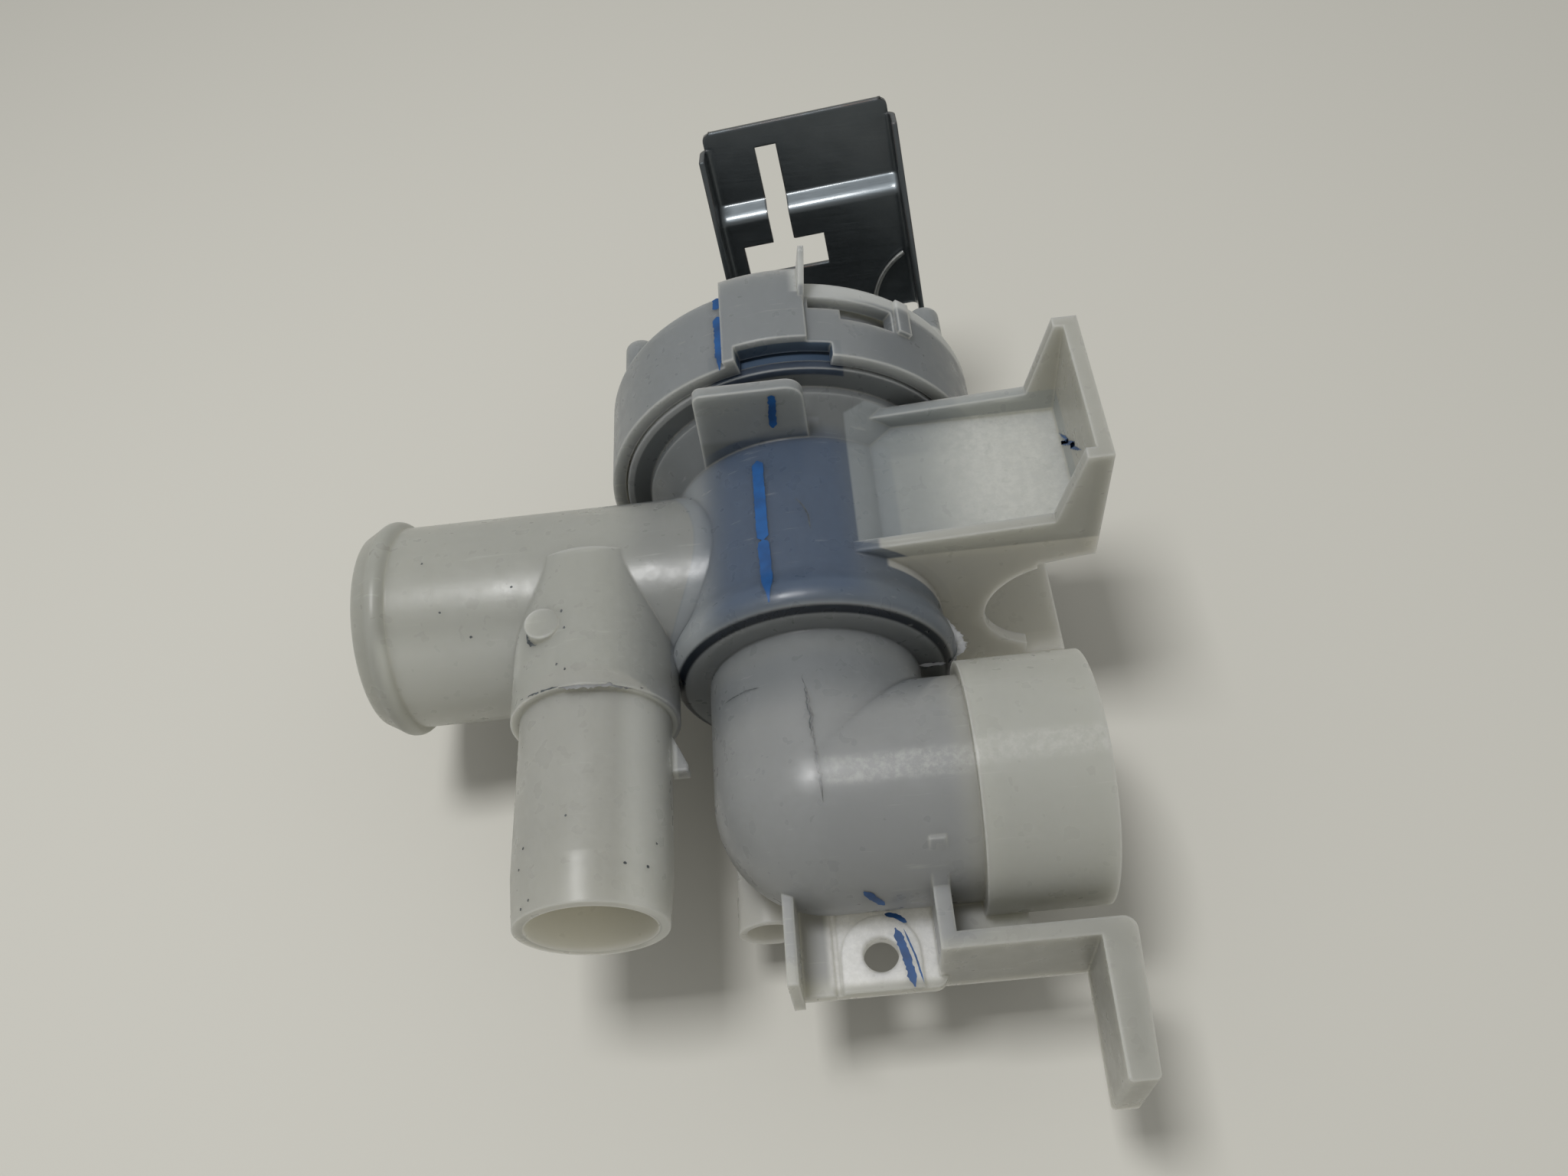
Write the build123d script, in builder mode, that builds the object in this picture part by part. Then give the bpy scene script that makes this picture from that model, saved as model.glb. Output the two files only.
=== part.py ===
from build123d import *
from math import cos, radians, sin, sqrt
import os

os.makedirs("parts", exist_ok=True)

# Washing machine drain valve, in millimetres.
# Origin: on the outlet's axis, at the shoulder of its hose bead.
# +X runs from the outlet to the inlet side, +Y is the way the rod is pulled
# out of the cap, +Z is up.

# Pipes
wall = 2.2
outlet_reach = 70.0
outlet_radius = 18.0
bead_radius = 19.3
bead_width = 3.4
bead_drop = 0.6
nose_reach = 6.0
nose_radius = 17.25
neck_radius = 17.8
elbow_drop = 41.5
socket_start = 22.5
socket_end = 41.75
socket_radius = 20.0
socket_wall = 2.0
overflow_offset = 36.15
overflow_height = 5.7
overflow_radius = 12.3
overflow_mouth_radius = 11.7
overflow_taper = 7.5
overflow_reach = 60.9
overflow_wall = 1.8
collar_radius = 13.8
collar_start = 0.6
collar_reach = 27.0
peg_radius = 2.8
peg_offset = 6.2
peg_reach = 14.8
peg_proud = 1.25

# Valve chamber
chamber_radius = 23.0
chamber_bulge = 24.4
bulge_y = -16.6
bulge_fade = 5.0
rim_inset = 0.7
rim_rise = 1.5
floor_y = -20.3
floor_wall = 2.3
flare_start = 15.0
flare_end = 21.0
flare_lead = 0.6
flange_width = 4.4
flange_fit = 0.35
flange_y = 22.5
flange_thickness = 1.8

# Grip tab beside the cap
tab_left = -15.0
tab_right = 4.0
tab_top = 35.3
tab_y = 15.0
tab_thickness = 2.0
tab_corner = 3.0
tab_lean_left = 0.4
tab_lean_right = 1.0

# Side arm with its end plate
arm_near = -8.8
arm_far = 20.5
arm_web = 1.9
arm_floor = 18.6
arm_floor_thickness = 2.0
arm_rib_start = 20.8
arm_rib_end = 23.2
gusset_start = 40.6
gusset_top = 44.0
arm_end = 48.0
end_plate_top = 38.5
end_plate_bottom = 13.5
end_plate_thickness = 2.4
arm_base = -16.0
arm_base_end = 45.7
scallop_x = 43.0
scallop_z = -1.0
scallop_radius = 12.6
web_end = 38.6
web_chamfer = 1.5

# Screw bracket and long leg on the near side
bracket_level = -8.0
bracket_thickness = 2.2
bracket_left = -8.0
bracket_front = 70.0
side_wall = 1.7
side_wall_top = 3.0
side_wall_front = 71.0
hole_x = 6.0
hole_y = 64.5
hole_radius = 2.75
pad_radius = 6.2
pad_proud = 0.7
groove_width = 0.8
groove_x = -0.6
fin_left = 14.6
fin_wall = 2.5
fin_top = 12.5
fin_flat = 13.2
fin_slope = 17.6
leg_top = 5.0
leg_bottom = -13.8
leg_wall_front = 68.4
leg_wall = 2.4
leg_right = 42.9
leg_width = 5.4
leg_tip_width = 4.4
leg_front = 88.4
leg_corner = 2.0
leg_taper = 1.6
web_right = 30.0
web_taper = 4.0
web_level = -5.6

# Open post under the elbow and hook beside the overflow branch
post_x = -11.4
post_z = -18.0
post_radius = 5.5
post_wall = 1.3
post_front = 56.0
post_depth = 22.0
hook_start = 30.0
hook_end = 36.5
hook_reach = 2.6
hook_thickness = 3.0
hook_nose = 1.0

# Bayonet cap
cap_radius = 34.5
cap_wall = 2.4
cap_rim_y = 23.0
cap_far_y = 41.0
cap_top = 2.5
cap_edge = 1.6
ring_inset = 1.1
ring_wall = 1.8
notch_left = -12.5
notch_right = 14.8
notch_depth = 3.0
block_left = -15.8
block_right = 7.6
block_proud = 1.3
block_far_y = 42.4
fin_angle = 7.2
fin_thickness = 1.0
fin_reach = 7.5
fin_start_y = 35.4
window_left = 9.0
window_step = 18.2
window_right = 35.0
window_far_y = 36.7
window_mid_y = 34.0
window_near_y = 31.8
rib_left = 36.2
rib_right = 40.6
rib_proud = 0.9
nub_angle = 61.5
nub_inset = 3.9
nub_radius = 3.0
nub_length = 7.8
lug_angles = (120.0, 180.0, 240.0)
lug_span = 24.0
lug_thickness = 1.8
lug_reach = 2.2
lug_fit = 0.1
guide_radius = 9.0
guide_far_y = 47.0
guide_depth = 2.0

# Rubber plug
plug_flange_thickness = 2.6
plug_flange_inset = 0.4
plug_lip_radius = 19.6
plug_head = 4.4
plug_skin = 1.7
bellows_outer = 18.6
bellows_inner = 14.6
bellows_folds = 3
throat_fit = 1.2
seat_gap = 0.3

# Sleeve, rod and springs
sleeve_radius = 9.4
sleeve_wall = 1.5
sleeve_length = 33.0
sleeve_seat_radius = 12.3
sleeve_seat_thickness = 1.6
rod_radius = 5.0
rod_fit = 0.05
rod_stem_radius = 3.4
rod_foot_radius = 7.4
rod_foot_thickness = 2.5
rod_shoulder_y = 49.0
tongue_width = 8.0
tongue_overlap = 1.0
outer_wire = 1.3
outer_coil_radius = 11.0
outer_turns = 7
inner_wire = 0.9
inner_coil_radius = 5.6
inner_turns = 9
spring_gap = 0.1

# Pull plate, its pin and spring
hinge_y = 57.0
twist = 5.6
tilt = 74.6
pin_radius = 2.0
pin_fit = 0.05
pin_head_radius = 3.4
pin_head_thickness = 1.3
plate_left = -7.7
plate_right = 29.1
plate_length = 48.6
plate_start = 5.0
sheet = 1.0
web_depth = 3.5
joggle_at = 33.4
joggle_run = 4.0
joggle_step = 2.4
joggle_radius = 2.0
ear_radius = 4.6
ear_rise = 2.4
ear_top = 45.6
slot_center = 4.75
slot_width = 4.0
slot_top = 44.4
bar_width = 15.7
bar_bottom = 20.0
bar_top = 26.2
slot_corner = 0.8
clip_radius = 3.8
clip_thickness = 0.8
twist_wire = 1.0
twist_coil_radius = 2.8
twist_turns = 8.5
coil_end = 20.5
leg_rise = 16.4
leg_sweep = 6.4
leg_knee = 12.3
leg_bend = 1.6
loose = 0.3

# Derived places
cx = outlet_reach
bore_radius = neck_radius - wall
chamber_bore = chamber_radius - wall
seat_y = floor_y + floor_wall
flange_top = flange_y + flange_thickness
clamp_y = flange_top + plug_flange_thickness
cap_bore = cap_radius - cap_wall
flange_radius = cap_bore - flange_fit
flare_radius = flange_radius - flange_width
ring_radius = flange_radius - ring_inset
plug_flange_radius = flange_radius - plug_flange_inset
plug_throat = flare_radius - wall - throat_fit
nub_pitch_radius = cap_radius - nub_inset
fin_tip = cap_radius + fin_reach
cap_inner_y = cap_far_y - cap_top
pull_axis = Axis((cx, 0, 0), (0, 1, 0))
section = Plane(origin=(cx, 0, 0))
down_pull = Plane(origin=(cx, 0, 0), x_dir=(1, 0, 0), z_dir=(0, -1, 0))
overflow_axis = Axis((cx - overflow_offset, 0, overflow_height), (0, 1, 0))
overflow_section = Plane(origin=(cx - overflow_offset, 0, overflow_height))


def side_plane(y):
    """Plane facing the near side at the given Y: local x is +X from the chamber axis, local y is +Z."""
    return Plane(origin=(cx, y, 0), x_dir=(1, 0, 0), z_dir=(0, -1, 0))


def level_plane(z):
    """Horizontal plane at the given Z: local x is +X from the chamber axis, local y is +Y."""
    return Plane(origin=(cx, 0, z))


def along_pull(y):
    """Plane at the given Y whose normal is the pull axis, +Y."""
    return Plane(origin=(cx, y, 0), x_dir=(1, 0, 0), z_dir=(0, 1, 0))


def polar(radius, angle):
    """Point in the XZ plane about the chamber axis; the angle runs from +Z towards +X."""
    return (radius * sin(radians(angle)), radius * cos(radians(angle)))


def sector(inner, outer, start, end):
    """Ring sector between two angles about the chamber axis, in the current sketch."""
    middle = (start + end) / 2
    corners = [polar(inner, start), polar(inner, end), polar(outer, end), polar(outer, start)]
    make_face(
        [
            Edge.make_three_point_arc(corners[0], polar(inner, middle), corners[1]),
            Edge.make_line(corners[1], corners[2]),
            Edge.make_three_point_arc(corners[2], polar(outer, middle), corners[3]),
            Edge.make_line(corners[3], corners[0]),
        ]
    )


# Valve body: chamber, pipes, arm and bracket in one moulding
with BuildPart() as valve_body:
    # Chamber with a bulged lower rim and a flared flange
    with BuildSketch(section):
        with BuildLine():
            floor_edge = (chamber_radius - wall, floor_y)
            Polyline((0, flange_top), (0, floor_y), floor_edge)
            ThreePointArc(
                floor_edge,
                (chamber_bulge - rim_inset, floor_y + rim_rise),
                (chamber_bulge, bulge_y),
            )
            Spline(
                (chamber_bulge, bulge_y),
                (chamber_radius, bulge_y + bulge_fade),
                tangents=((0, 1), (0, 1)),
            )
            Polyline(
                (chamber_radius, bulge_y + bulge_fade),
                (chamber_radius, flare_start),
                (flare_radius, flare_end),
                (flare_radius, flange_y),
                (flange_radius, flange_y),
                (flange_radius, flange_top),
                (0, flange_top),
            )
        make_face()
    revolve(axis=pull_axis)

    # Outlet pipe with its hose bead and tapered nose
    with BuildSketch(Plane.YZ):
        Circle(outlet_radius)
    extrude(amount=outlet_reach)
    with BuildSketch(Plane.XY):
        with BuildLine():
            Polyline(
                (0, 0),
                (-nose_reach, 0),
                (-nose_reach, nose_radius),
                (-bead_width, bead_radius - bead_drop),
            )
            ThreePointArc(
                (-bead_width, bead_radius - bead_drop),
                (-bead_width / 2, bead_radius),
                (0, outlet_radius),
            )
            Line((0, outlet_radius), (0, 0))
        make_face()
    revolve(axis=Axis.X)

    # Neck, spherical elbow corner, inlet pipe and its wider socket
    with BuildSketch(down_pull):
        Circle(neck_radius)
    extrude(amount=elbow_drop)
    with Locations((cx, -elbow_drop, 0)):
        Sphere(neck_radius)
    with BuildSketch(Plane.YZ.offset(cx)):
        with Locations((-elbow_drop, 0)):
            Circle(neck_radius)
    extrude(amount=socket_end)
    with BuildSketch(Plane.YZ.offset(cx + socket_start)):
        with Locations((-elbow_drop, 0)):
            Circle(socket_radius)
    extrude(amount=socket_end - socket_start)

    # Overflow branch with its collar
    with BuildSketch(overflow_section):
        with BuildLine():
            Polyline(
                (0, -collar_start),
                (0, -overflow_reach),
                (overflow_mouth_radius, -overflow_reach),
                (overflow_radius, overflow_taper - overflow_reach),
                (overflow_radius, -collar_reach),
                (collar_radius, -collar_reach),
                (collar_radius, -collar_start),
                (0, -collar_start),
            )
        make_face()
    revolve(axis=overflow_axis)
    with BuildSketch(Plane(origin=(cx - overflow_offset - peg_offset, -peg_reach, 0))):
        Circle(peg_radius)
    extrude(amount=overflow_height + sqrt(collar_radius**2 - peg_offset**2) + peg_proud)
    with BuildSketch(level_plane(overflow_height - hook_thickness)):
        hook_base = overflow_radius - overflow_offset
        with BuildLine():
            Polyline(
                (hook_base - overflow_wall, -hook_start),
                (hook_base, -hook_start),
                (hook_base + hook_reach, hook_nose - hook_end),
                (hook_base + hook_reach, -hook_end),
                (hook_base - overflow_wall, -hook_end),
                close=True,
            )
        make_face()
    extrude(amount=hook_thickness)

    # Grip tab
    with BuildSketch(side_plane(tab_y + tab_thickness)):
        with BuildLine():
            Polyline(
                (tab_left - tab_lean_left, 0),
                (tab_left, tab_top),
                (tab_right - tab_lean_right, tab_top),
                (tab_right, 0),
                close=True,
            )
        make_face()
        fillet(vertices().group_by(Axis.Y)[-1].sort_by(Axis.X)[-1], tab_corner)
        fillet(vertices().group_by(Axis.Y)[-1].sort_by(Axis.X)[0], tab_corner / 2)
    extrude(amount=tab_thickness)

    # Arm: floor, two side webs with gussets, end plate and lower plate
    with BuildSketch(level_plane(arm_floor - arm_floor_thickness)):
        with BuildLine():
            Polyline((0, arm_near), (arm_end, arm_near), (arm_end, arm_far), (0, arm_far), close=True)
        make_face()
    extrude(amount=arm_floor_thickness)
    rib_outline = [
        (0, arm_rib_start),
        (gusset_start, arm_rib_end),
        (gusset_top, end_plate_top),
        (arm_end, end_plate_top),
        (arm_end, end_plate_bottom),
    ]
    with BuildSketch(side_plane(arm_far)):
        with BuildLine():
            Polyline(*rib_outline, (0, end_plate_bottom), close=True)
        make_face()
    extrude(amount=arm_web)
    with BuildSketch(side_plane(arm_near + arm_web)):
        with BuildLine():
            Polyline(
                *rib_outline,
                (web_end, end_plate_bottom - web_chamfer),
                (web_end, arm_base),
                (0, arm_base),
                close=True,
            )
        make_face()
        with Locations((scallop_x, scallop_z)):
            Circle(scallop_radius, mode=Mode.SUBTRACT)
    extrude(amount=arm_web)
    with BuildSketch(Plane.YZ.offset(cx + arm_end - end_plate_thickness)):
        with BuildLine():
            Polyline(
                (arm_near, end_plate_bottom),
                (arm_near, end_plate_top),
                (arm_far, end_plate_top),
                (arm_far, end_plate_bottom),
                close=True,
            )
        make_face()
    extrude(amount=end_plate_thickness)
    with BuildSketch(level_plane(arm_base - arm_web)):
        with BuildLine():
            Polyline((0, arm_near), (arm_base_end, arm_near), (arm_base_end, arm_far), (0, arm_far), close=True)
        make_face()
    extrude(amount=arm_web)

    # Screw bracket: plate, raised pad, side wall, fin
    plate_back = elbow_drop + neck_radius / 2
    with BuildSketch(level_plane(bracket_level - bracket_thickness)):
        with BuildLine():
            Polyline(
                (bracket_left, -plate_back),
                (bracket_left, -bracket_front),
                (fin_left + fin_wall / 2, -bracket_front),
                (fin_left + fin_wall / 2, -plate_back),
                close=True,
            )
        make_face()
        fillet(vertices().group_by(Axis.Y)[0].sort_by(Axis.X)[-1], leg_corner)
    extrude(amount=bracket_thickness)
    with BuildSketch(level_plane(bracket_level)):
        with BuildLine():
            Polyline(
                (hole_x - pad_radius, -hole_y),
                (hole_x - pad_radius, -bracket_front),
                (hole_x + pad_radius, -bracket_front),
                (hole_x + pad_radius, -hole_y),
            )
            ThreePointArc(
                (hole_x + pad_radius, -hole_y),
                (hole_x, pad_radius - hole_y),
                (hole_x - pad_radius, -hole_y),
            )
        make_face()
    extrude(amount=pad_proud)
    with BuildSketch(side_plane(-plate_back)):
        with BuildLine():
            Polyline(
                (bracket_left, bracket_level - bracket_thickness),
                (bracket_left, side_wall_top),
                (bracket_left + side_wall, side_wall_top),
                (bracket_left + side_wall, bracket_level - bracket_thickness),
                close=True,
            )
        make_face()
    extrude(amount=side_wall_front - plate_back)

    # Fin over the elbow, cross wall and long leg, all with one top level
    with BuildSketch(Plane.YZ.offset(cx + fin_left)):
        with BuildLine():
            Polyline(
                (-elbow_drop, leg_bottom),
                (-elbow_drop, fin_top),
                (-elbow_drop - fin_flat, fin_top),
                (-elbow_drop - fin_slope, leg_top),
                (-leg_wall_front, leg_top),
                (-leg_wall_front, leg_bottom),
                close=True,
            )
        make_face()
    extrude(amount=fin_wall)
    with BuildSketch(level_plane(leg_bottom)):
        with BuildLine():
            Polyline(
                (fin_left, leg_wall - leg_wall_front),
                (leg_right, leg_wall - leg_wall_front),
                (leg_right - leg_taper, -leg_front),
                (leg_right - leg_taper - leg_tip_width, -leg_front),
                (leg_right - leg_width, -leg_wall_front),
                (fin_left, -leg_wall_front),
                close=True,
            )
        make_face()
        fillet(vertices().sort_by(Axis.X)[-1], leg_corner)
        fillet(vertices().group_by(Axis.Y)[0], leg_corner / 3)
    extrude(amount=leg_top - leg_bottom)
    with BuildSketch(level_plane(web_level - bracket_thickness)):
        with BuildLine():
            Polyline(
                (fin_left, -elbow_drop),
                (fin_left, leg_wall - leg_wall_front),
                (web_right, leg_wall - leg_wall_front),
                (web_right - web_taper, -elbow_drop),
                close=True,
            )
        make_face()
    extrude(amount=bracket_thickness)

    # Open post under the elbow
    with BuildSketch(down_pull.offset(-floor_y - floor_wall / 2)):
        with Locations((post_x, post_z)):
            Circle(post_radius)
    extrude(amount=post_front + floor_y + floor_wall / 2)

    # Waterways
    with BuildSketch(section):
        with BuildLine():
            Polyline(
                (0, seat_y),
                (chamber_bore, seat_y),
                (chamber_bore, flare_start),
                (flare_radius - wall, flare_end + flare_lead),
                (flare_radius - wall, flange_top),
                (0, flange_top),
                close=True,
            )
        make_face()
    revolve(axis=pull_axis, mode=Mode.SUBTRACT)
    with BuildSketch(Plane.YZ.offset(-nose_reach)):
        Circle(outlet_radius - wall)
    extrude(amount=nose_reach + outlet_reach, mode=Mode.SUBTRACT)
    with BuildSketch(down_pull):
        Circle(bore_radius)
    extrude(amount=elbow_drop, mode=Mode.SUBTRACT)
    with Locations((cx, -elbow_drop, 0)):
        Sphere(bore_radius, mode=Mode.SUBTRACT)
    with BuildSketch(Plane.YZ.offset(cx)):
        with Locations((-elbow_drop, 0)):
            Circle(bore_radius)
    extrude(amount=socket_end, mode=Mode.SUBTRACT)
    with BuildSketch(Plane.YZ.offset(cx + socket_start + socket_wall)):
        with Locations((-elbow_drop, 0)):
            Circle(socket_radius - socket_wall)
    extrude(amount=socket_end - socket_start, mode=Mode.SUBTRACT)
    with BuildSketch(Plane(origin=overflow_axis.position, x_dir=(1, 0, 0), z_dir=(0, -1, 0))):
        Circle(overflow_mouth_radius - overflow_wall)
    extrude(amount=overflow_reach, mode=Mode.SUBTRACT)
    with BuildSketch(down_pull.offset(post_front - post_depth)):
        with Locations((post_x, post_z)):
            Circle(post_radius - post_wall)
    extrude(amount=post_depth, mode=Mode.SUBTRACT)
    with BuildSketch(level_plane(bracket_level - bracket_thickness)):
        with Locations((hole_x, -hole_y)):
            Circle(hole_radius)
    extrude(amount=bracket_thickness + pad_proud, mode=Mode.SUBTRACT)
    with BuildSketch(level_plane(bracket_level - pad_proud)):
        with Locations((groove_x - groove_width / 2, -(bracket_front + plate_back) / 2)):
            Rectangle(groove_width, bracket_front)
    extrude(amount=pad_proud, mode=Mode.SUBTRACT)

valve_body.part.label = "valve_body"
export_step(valve_body.part, "parts/valve_body.step")

# Bayonet cap: skirt, end plate, clamping ring and rod guide
with BuildPart() as valve_cap:
    with BuildSketch(section):
        with BuildLine():
            Polyline(
                (cap_radius, cap_rim_y),
                (cap_radius, cap_far_y),
                (guide_radius, cap_far_y),
                (guide_radius, guide_far_y),
                (rod_radius + rod_fit, guide_far_y),
                (rod_radius + rod_fit, cap_inner_y - guide_depth),
                (guide_radius, cap_inner_y - guide_depth),
                (guide_radius, cap_inner_y),
                (ring_radius - ring_wall, cap_inner_y),
                (ring_radius - ring_wall, clamp_y),
                (ring_radius, clamp_y),
                (ring_radius, cap_inner_y),
                (cap_bore, cap_inner_y),
                (cap_bore, cap_rim_y),
                close=True,
            )
        make_face()
        fillet(vertices().group_by(Axis.X)[-1].sort_by(Axis.Y)[-1], cap_edge)
    revolve(axis=pull_axis)

    # Raised block on the skirt, its thin grip fin and the rib beside the window
    with BuildSketch(side_plane(block_far_y)):
        sector(cap_bore, cap_radius + block_proud, block_left, block_right)
    extrude(amount=block_far_y - cap_rim_y)
    fin_out = (sin(radians(fin_angle)), 0, cos(radians(fin_angle)))
    fin_side = (-cos(radians(fin_angle)), 0, sin(radians(fin_angle)))
    with BuildSketch(Plane(origin=(cx, 0, 0), x_dir=fin_out, z_dir=fin_side)):
        with BuildLine():
            Polyline(
                (cap_bore, fin_start_y),
                (cap_radius + fin_thickness, fin_start_y),
                (fin_tip, cap_far_y - fin_thickness),
                (fin_tip, cap_far_y),
                (cap_radius, block_far_y),
                (cap_bore, block_far_y),
                close=True,
            )
        make_face()
    extrude(amount=fin_thickness / 2, both=True)
    with BuildSketch(side_plane(cap_far_y - cap_edge)):
        sector(cap_bore, cap_radius + rib_proud, rib_left, rib_right)
    extrude(amount=cap_far_y - cap_edge - window_near_y)

    # Two grip nubs on the end plate
    with BuildSketch(side_plane(cap_far_y + nub_length)):
        with Locations(polar(nub_pitch_radius, -nub_angle), polar(nub_pitch_radius, nub_angle)):
            Circle(nub_radius)
    extrude(amount=nub_length + cap_edge)
    nub_tips = faces().filter_by(Axis.Y).sort_by(Axis.Y)[-2:]
    fillet(nub_tips.edges(), nub_radius / 3)

    # Bayonet lugs that hook under the body's flange
    lug_near_y = flange_y - lug_fit - lug_thickness
    for lug_angle in lug_angles:
        with BuildSketch(side_plane(cap_rim_y)):
            sector(cap_bore, cap_radius, lug_angle - lug_span / 2, lug_angle + lug_span / 2)
        extrude(amount=cap_rim_y - lug_near_y)
        with BuildSketch(side_plane(flange_y - lug_fit)):
            sector(flare_radius + lug_reach, cap_bore, lug_angle - lug_span / 2, lug_angle + lug_span / 2)
        extrude(amount=lug_thickness)

    # Rim notch and the stepped latch window
    with BuildSketch(side_plane(cap_rim_y + notch_depth)):
        sector(flange_radius + lug_fit, cap_radius + cap_wall, notch_left, notch_right)
    extrude(amount=notch_depth, mode=Mode.SUBTRACT)
    for window_start, window_end, window_y in (
        (window_left, window_step, window_mid_y),
        (window_step, window_right, window_near_y),
    ):
        with BuildSketch(side_plane(window_far_y)):
            sector(ring_radius + lug_fit, cap_radius + cap_wall, window_start, window_end)
        extrude(amount=window_far_y - window_y, mode=Mode.SUBTRACT)

valve_cap.part.label = "valve_cap"
export_step(valve_cap.part, "parts/valve_cap.step")

# Rubber plug: clamped flange, folded bellows and the sealing head
plug_face = seat_y + seat_gap
plug_back = plug_face + plug_head
folds_top = flare_start
fold_pitch = (folds_top - plug_back) / bellows_folds
fold_outer = []
fold_inner = []
for fold in range(bellows_folds):
    crest = folds_top - fold * fold_pitch
    fold_outer += [(bellows_outer, crest), (bellows_inner, crest - fold_pitch / 2)]
    fold_inner += [(bellows_outer - plug_skin, crest), (bellows_inner - plug_skin, crest - fold_pitch / 2)]
with BuildPart() as rubber_plug:
    with BuildSketch(section):
        with BuildLine():
            Polyline(
                (0, plug_face),
                (plug_lip_radius, plug_face),
                (plug_lip_radius, plug_face + plug_skin),
                (bellows_outer, plug_back),
                *reversed(fold_outer),
                (plug_throat, flange_top),
                (plug_flange_radius, flange_top),
                (plug_flange_radius, clamp_y),
                (plug_throat - plug_skin, clamp_y),
                *fold_inner,
                (bellows_outer - plug_skin, plug_back),
                (0, plug_back),
                close=True,
            )
        make_face()
    revolve(axis=pull_axis)
rubber_plug.part.label = "rubber_plug"
export_step(rubber_plug.part, "parts/rubber_plug.step")

# Guide sleeve: cup with a spring seat and an inward lip at its open end
sleeve_foot = plug_back + seat_gap
sleeve_top = sleeve_foot + sleeve_length
sleeve_bore = sleeve_radius - sleeve_wall
sleeve_floor = sleeve_foot + sleeve_seat_thickness
with BuildPart() as guide_sleeve:
    with BuildSketch(section):
        with BuildLine():
            Polyline(
                (0, sleeve_foot),
                (sleeve_seat_radius, sleeve_foot),
                (sleeve_seat_radius, sleeve_floor),
                (sleeve_radius, sleeve_floor),
                (sleeve_radius, sleeve_top),
                (rod_stem_radius + loose, sleeve_top),
                (rod_stem_radius + loose, sleeve_top - sleeve_wall),
                (sleeve_bore, sleeve_top - sleeve_wall),
                (sleeve_bore, sleeve_floor),
                (0, sleeve_floor),
                close=True,
            )
        make_face()
    revolve(axis=pull_axis)
guide_sleeve.part.label = "guide_sleeve"
export_step(guide_sleeve.part, "parts/guide_sleeve.step")

# Pull rod: foot in the sleeve, stem, guided shaft and a flat tongue with an eye
hinge = Vector(cx, hinge_y, 0)
pin_way = Vector(cos(radians(twist)), 0, sin(radians(twist)))
lift_way = Vector(-sin(radians(twist)), 0, cos(radians(twist)))
plate_way = Vector(0, 1, 0) * cos(radians(tilt)) + lift_way * sin(radians(tilt))
plate_out = pin_way.cross(plate_way)
rod_foot = sleeve_floor + loose
rod_step = sleeve_top + rod_radius
tongue_root = rod_shoulder_y - hinge_y - tongue_overlap
with BuildPart() as pull_rod:
    with BuildSketch(section):
        with BuildLine():
            Polyline(
                (0, rod_foot),
                (rod_foot_radius, rod_foot),
                (rod_foot_radius, rod_foot + rod_foot_thickness),
                (rod_stem_radius, rod_foot + rod_foot_thickness),
                (rod_stem_radius, rod_step),
                (rod_radius, rod_step + rod_radius - rod_stem_radius),
                (rod_radius, rod_shoulder_y),
                (0, rod_shoulder_y),
                close=True,
            )
        make_face()
    revolve(axis=pull_axis)
    with BuildSketch(Plane(origin=hinge, x_dir=(0, 1, 0), z_dir=pin_way)):
        with BuildLine():
            Line((0, rod_radius), (tongue_root, rod_radius))
            Line((tongue_root, rod_radius), (tongue_root, -rod_radius))
            Line((tongue_root, -rod_radius), (0, -rod_radius))
            ThreePointArc((0, -rod_radius), (rod_radius, 0), (0, rod_radius))
        make_face()
        Circle(pin_radius + pin_fit, mode=Mode.SUBTRACT)
    extrude(amount=tongue_width / 2, both=True)
pull_rod.part.label = "pull_rod"
export_step(pull_rod.part, "parts/pull_rod.step")


# Closing spring between the sleeve's seat and the cap's end plate
outer_start = sleeve_floor + outer_wire / 2 + spring_gap
outer_height = cap_inner_y - outer_wire / 2 - spring_gap - outer_start
with BuildPart() as outer_spring:
    with BuildLine() as outer_path:
        outer_helix = Edge.make_helix(outer_height / outer_turns, outer_height, outer_coil_radius)
        add(outer_helix.moved(along_pull(outer_start).location))
    with BuildSketch(Plane(origin=outer_path.line @ 0, z_dir=outer_path.line % 0)):
        Circle(outer_wire / 2)
    sweep()
outer_spring.part.label = "outer_spring"
export_step(outer_spring.part, "parts/outer_spring.step")

# Coupling spring between the rod's foot and the sleeve's lip
inner_start = rod_foot + rod_foot_thickness + inner_wire / 2 + spring_gap
inner_height = sleeve_top - sleeve_wall - inner_wire / 2 - spring_gap - inner_start
with BuildPart() as inner_spring:
    with BuildLine() as inner_path:
        inner_helix = Edge.make_helix(inner_height / inner_turns, inner_height, inner_coil_radius)
        add(inner_helix.moved(along_pull(inner_start).location))
    with BuildSketch(Plane(origin=inner_path.line @ 0, z_dir=inner_path.line % 0)):
        Circle(inner_wire / 2)
    sweep()
inner_spring.part.label = "inner_spring"
export_step(inner_spring.part, "parts/inner_spring.step")

# Pull plate: joggled web with a T-slot and two ears on the pin
web_front = [
    (plate_start, -web_depth),
    (joggle_at - joggle_run / 2, -web_depth),
    (joggle_at + joggle_run / 2, -web_depth - joggle_step),
    (plate_length, -web_depth - joggle_step),
]
web_back = [(along, out - sheet) for along, out in reversed(web_front)]


def at_joggle(corner):
    """True for the profile's corners where the web steps back."""
    return abs(corner.X - joggle_at) < joggle_run


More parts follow.
